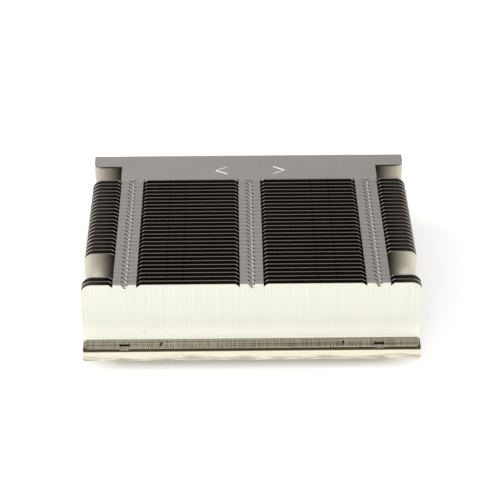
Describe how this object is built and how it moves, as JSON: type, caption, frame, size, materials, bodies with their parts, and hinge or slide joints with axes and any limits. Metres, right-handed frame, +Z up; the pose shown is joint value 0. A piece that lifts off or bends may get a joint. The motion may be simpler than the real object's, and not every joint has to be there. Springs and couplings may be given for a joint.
{
  "type": "passive server cpu heatsink",
  "caption": "Low passive processor heatsink: a flat base with a stack of interlocking folded fins and captive spring screws at its corners.",
  "frame": {"origin": "middle of the footprint, on the surface that the screw tips stand on", "axes": "+X along the fins and the airflow, +Y from the front fin to the rear fin, +Z up from the base to the fins"},
  "size_m": [0.106, 0.0846, 0.0286],
  "materials": {
    "base_aluminium": "milled, bare",
    "fin_aluminium": "bare rolled sheet",
    "screw_steel": "nickel plated",
    "spring_steel": "drawn wire",
    "clip_steel": "plain"
  },
  "bodies": {
    "heatsink": {"base_plate": "base_aluminium", "fin_02": "fin_aluminium", "fin_03": "fin_aluminium", "fin_04": "fin_aluminium", "fin_05": "fin_aluminium", "fin_06": "fin_aluminium", "fin_07": "fin_aluminium", "fin_08": "fin_aluminium", "fin_09": "fin_aluminium", "fin_10": "fin_aluminium", "fin_11": "fin_aluminium", "fin_12": "fin_aluminium", "fin_13": "fin_aluminium", "fin_14": "fin_aluminium", "fin_15": "fin_aluminium", "fin_16": "fin_aluminium", "fin_17": "fin_aluminium", "fin_18": "fin_aluminium", "fin_19": "fin_aluminium", "fin_20": "fin_aluminium", "fin_21": "fin_aluminium", "fin_22": "fin_aluminium", "fin_23": "fin_aluminium", "fin_24": "fin_aluminium", "fin_25": "fin_aluminium", "fin_26": "fin_aluminium", "fin_27": "fin_aluminium", "fin_28": "fin_aluminium", "fin_29": "fin_aluminium", "fin_30": "fin_aluminium", "fin_31": "fin_aluminium", "fin_32": "fin_aluminium", "fin_33": "fin_aluminium", "fin_34": "fin_aluminium", "fin_35": "fin_aluminium", "front_fin": "fin_aluminium", "rear_fin": "fin_aluminium", "spring_front_left": "spring_steel", "spring_front_right": "spring_steel", "spring_rear_left": "spring_steel", "spring_rear_right": "spring_steel"},
    "clip_front_left": {"retaining_ring_front_left": "clip_steel"},
    "fastener_front_left": {"screw_front_left": "screw_steel"},
    "clip_front_right": {"retaining_ring_front_right": "clip_steel"},
    "fastener_front_right": {"screw_front_right": "screw_steel"},
    "clip_rear_left": {"retaining_ring_rear_left": "clip_steel"},
    "fastener_rear_left": {"screw_rear_left": "screw_steel"},
    "clip_rear_right": {"retaining_ring_rear_right": "clip_steel"},
    "fastener_rear_right": {"screw_rear_right": "screw_steel"}
  },
  "joints": [
    {"name": "press_front_left", "type": "slide", "parent": "heatsink", "child": "clip_front_left", "axis": [0, 0, 1], "range_m": [-0.0035, 0], "stiffness_N_per_m": 7000, "springref_m": 0.001, "deforming": ["spring_front_left"]},
    {"name": "turn_front_left", "type": "hinge", "parent": "clip_front_left", "child": "fastener_front_left", "pos_m": [-0.047, -0.02535, 0.00365], "axis": [0, 0, 1], "continuous": true},
    {"name": "press_front_right", "type": "slide", "parent": "heatsink", "child": "clip_front_right", "axis": [0, 0, 1], "range_m": [-0.0035, 0], "stiffness_N_per_m": 7000, "springref_m": 0.001, "deforming": ["spring_front_right"]},
    {"name": "turn_front_right", "type": "hinge", "parent": "clip_front_right", "child": "fastener_front_right", "pos_m": [0.047, -0.02535, 0.00365], "axis": [0, 0, 1], "continuous": true},
    {"name": "press_rear_left", "type": "slide", "parent": "heatsink", "child": "clip_rear_left", "axis": [0, 0, 1], "range_m": [-0.0035, 0], "stiffness_N_per_m": 7000, "springref_m": 0.001, "deforming": ["spring_rear_left"]},
    {"name": "turn_rear_left", "type": "hinge", "parent": "clip_rear_left", "child": "fastener_rear_left", "pos_m": [-0.047, 0.03065, 0.00365], "axis": [0, 0, 1], "continuous": true},
    {"name": "press_rear_right", "type": "slide", "parent": "heatsink", "child": "clip_rear_right", "axis": [0, 0, 1], "range_m": [-0.0035, 0], "stiffness_N_per_m": 7000, "springref_m": 0.001, "deforming": ["spring_rear_right"]},
    {"name": "turn_rear_right", "type": "hinge", "parent": "clip_rear_right", "child": "fastener_rear_right", "pos_m": [0.047, 0.03065, 0.00365], "axis": [0, 0, 1], "continuous": true}
  ]
}
